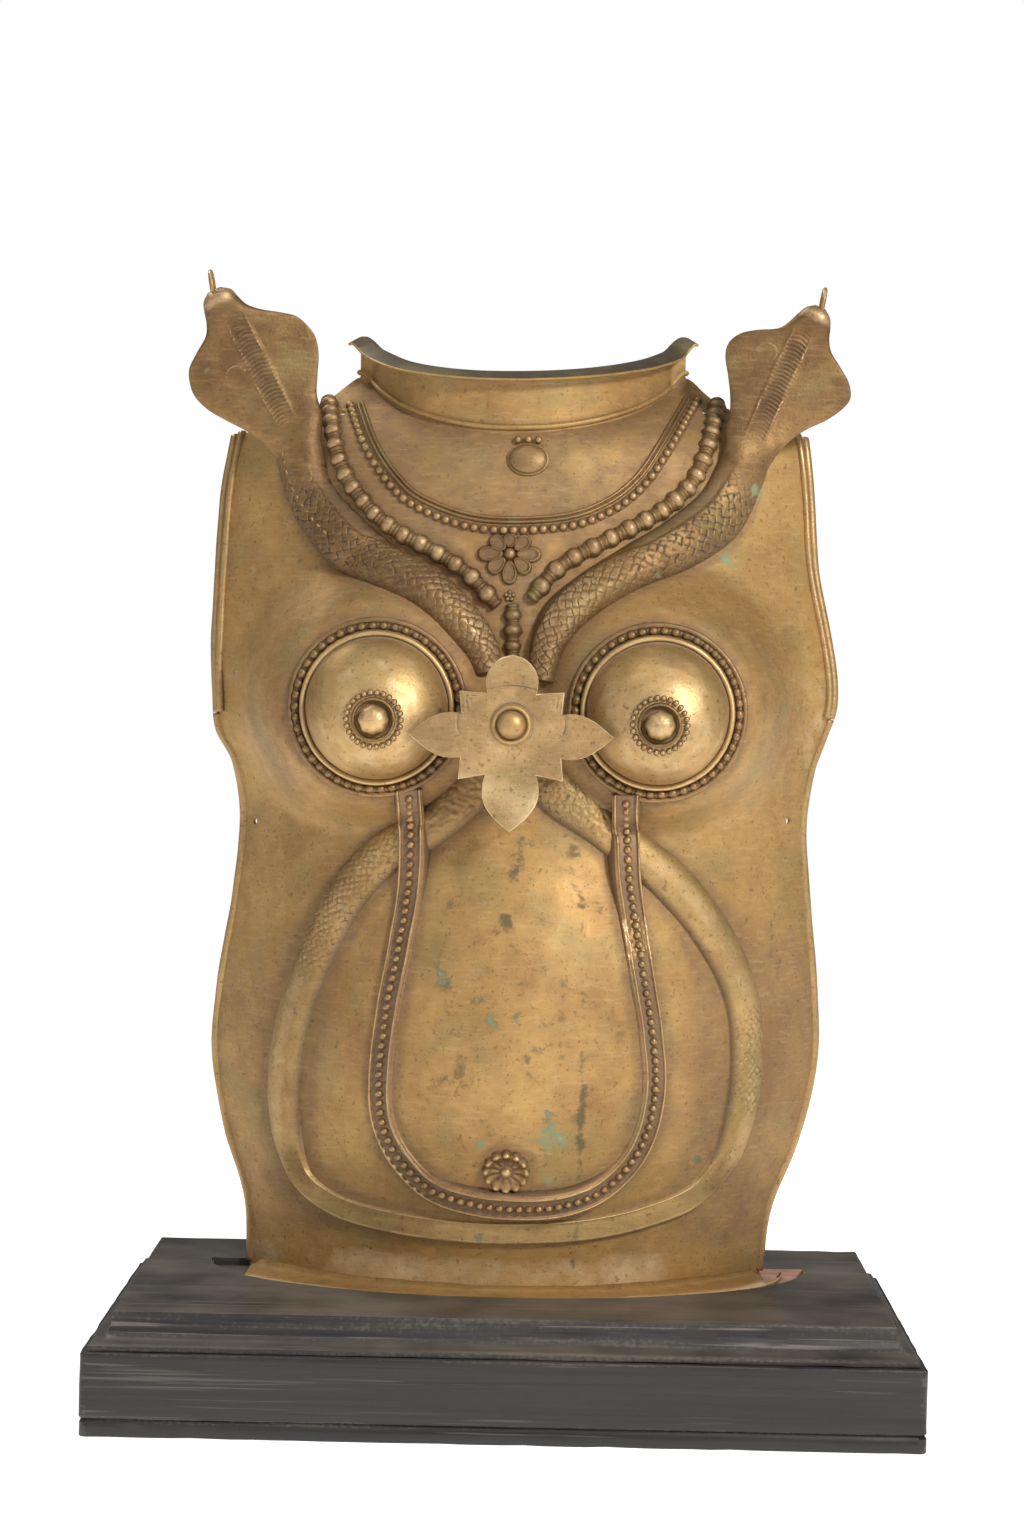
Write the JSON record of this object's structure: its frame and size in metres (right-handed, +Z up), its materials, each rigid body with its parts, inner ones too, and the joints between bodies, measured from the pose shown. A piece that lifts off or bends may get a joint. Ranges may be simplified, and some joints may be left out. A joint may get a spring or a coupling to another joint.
{
  "type": "brass chest plate on a stepped wooden plinth",
  "caption": "Open-backed brass breastplate with standing collar, cobras and beaded relief, held upright in a black stepped wooden plinth.",
  "frame": {"origin": "middle of the plinth's underside", "axes": "+Z up, -Y out of the front of the plate, +X to the right seen from the front"},
  "size_m": [0.49, 0.293, 0.6891],
  "materials": {
    "plinth_slab": "black paint over wood, brushed and worn at the arrises",
    "plinth_top_board": "black paint over wood, scratched and worn at the arrises",
    "chest_shell": "old brass sheet, hand beaten, brown tarnish with green spots",
    "edge_roll_left": "worn old brass, brighter on the ridge",
    "edge_roll_right": "worn old brass, brighter on the ridge",
    "armhole_roll_left": "worn old brass, brighter on the ridges",
    "armhole_roll_right": "worn old brass, brighter on the ridges",
    "foot_flange": "dull old brass sheet",
    "neck_collar": "old brass sheet, brown tarnish",
    "neckline_rolls": "cast brass line, dark in the groove",
    "small_bead_string": "cast brass beads, dark between",
    "collar_pendant": "worn cast brass",
    "rosette_upper": "cast brass, tarnished in the hollows",
    "rosette_lower": "cast brass, tarnished in the hollows",
    "necklace_left": "cast brass beads, dark between, bright on top",
    "necklace_right": "cast brass beads, dark between, bright on top",
    "necklace_stem": "cast brass beads, dark between, bright on top",
    "cobra_left": "cast brass, engraved scales, brown tarnish",
    "cobra_right": "cast brass, engraved scales, dark brown tarnish with green spots",
    "head_loop_left": "dull brass wire",
    "head_loop_right": "dull brass wire",
    "snake_tails": "old brass, engraved scales on the flanks",
    "cup_left": "smooth brass dome, bright on the crown",
    "cup_right": "smooth brass dome, bright on the crown",
    "cup_beads_left": "cast brass beads, dark between",
    "cup_beads_right": "cast brass beads, dark between",
    "nipple_beads_left": "cast brass beads, dark between",
    "nipple_beads_right": "cast brass beads, dark between",
    "nipple_stud_left": "worn brass knob",
    "nipple_stud_right": "worn brass knob",
    "star_flower": "flat brass sheet, bright at the cut edge",
    "star_stud": "worn brass boss",
    "belly_strap": "brass rails, worn bright",
    "strap_beads": "cast brass beads, dark between"
  },
  "bodies": {
    "root": {"plinth_slab": "plinth_slab", "plinth_top_board": "plinth_top_board", "chest_shell": "chest_shell", "edge_roll_left": "edge_roll_left", "edge_roll_right": "edge_roll_right", "armhole_roll_left": "armhole_roll_left", "armhole_roll_right": "armhole_roll_right", "foot_flange": "foot_flange", "neck_collar": "neck_collar", "neckline_rolls": "neckline_rolls", "small_bead_string": "small_bead_string", "collar_pendant": "collar_pendant", "rosette_upper": "rosette_upper", "rosette_lower": "rosette_lower", "necklace_left": "necklace_left", "necklace_right": "necklace_right", "necklace_stem": "necklace_stem", "cobra_left": "cobra_left", "cobra_right": "cobra_right", "head_loop_left": "head_loop_left", "head_loop_right": "head_loop_right", "snake_tails": "snake_tails", "cup_left": "cup_left", "cup_right": "cup_right", "cup_beads_left": "cup_beads_left", "cup_beads_right": "cup_beads_right", "nipple_beads_left": "nipple_beads_left", "nipple_beads_right": "nipple_beads_right", "nipple_stud_left": "nipple_stud_left", "nipple_stud_right": "nipple_stud_right", "star_flower": "star_flower", "star_stud": "star_stud", "belly_strap": "belly_strap", "strap_beads": "strap_beads"}
  },
  "joints": []
}
